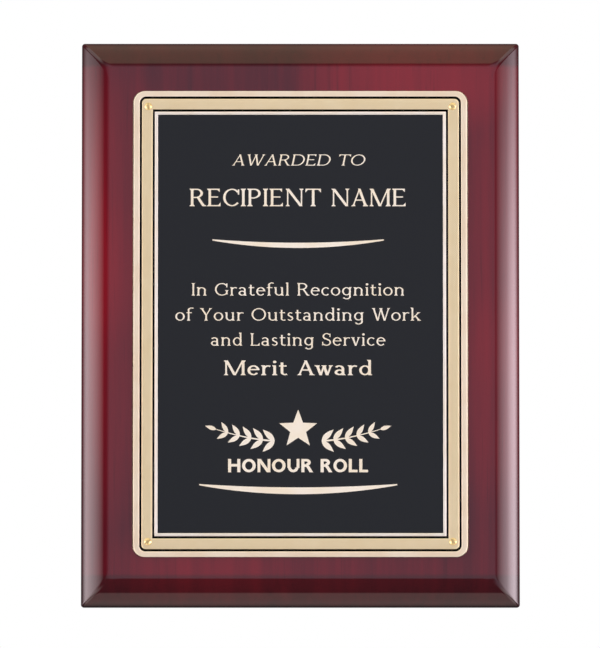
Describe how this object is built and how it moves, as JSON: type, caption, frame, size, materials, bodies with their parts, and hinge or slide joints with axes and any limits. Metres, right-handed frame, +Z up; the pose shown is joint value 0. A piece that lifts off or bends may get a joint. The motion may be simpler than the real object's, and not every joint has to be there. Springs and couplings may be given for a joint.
{
  "type": "wall plaque",
  "caption": "Upright lacquered wooden award plaque with rounded edges, an enamelled and bordered brass plate held by small corner screws, and keyhole hangers in the back.",
  "frame": {"origin": "centre of the back face, which lies on the wall", "axes": "+Z up along the plaque's long side, +Y out of the back into the wall, +X to the right seen from the front, so the engraved front faces -Y"},
  "size_m": [0.1774, 0.0177, 0.229],
  "materials": {
    "rosewood": "rosewood veneer under high-gloss lacquer",
    "mdf": "raw fibreboard",
    "backing": "matt black laminate",
    "enamelled_brass": "satin black enamel with the border and lettering cut through to the brass",
    "brass": "polished",
    "steel": "zinc plated",
    "tape": "double-sided tape"
  },
  "bodies": {
    "root": {"core_board": "mdf", "face_veneer": "rosewood", "edge_veneer_top": "rosewood", "edge_veneer_right": "rosewood", "edge_veneer_bottom": "rosewood", "edge_veneer_left": "rosewood", "back_sheet": "backing", "engraving_plate": "enamelled_brass", "plate_tape_left": "tape", "plate_tape_middle": "tape", "plate_tape_right": "tape", "plate_screw_upper_left": "brass", "plate_screw_upper_right": "brass", "plate_screw_lower_left": "brass", "plate_screw_lower_right": "brass", "upper_keyhole_hanger": "steel", "upper_hanger_screw_inner": "steel", "upper_hanger_screw_outer": "steel", "side_keyhole_hanger": "steel", "side_hanger_screw_inner": "steel", "side_hanger_screw_outer": "steel"}
  },
  "joints": []
}
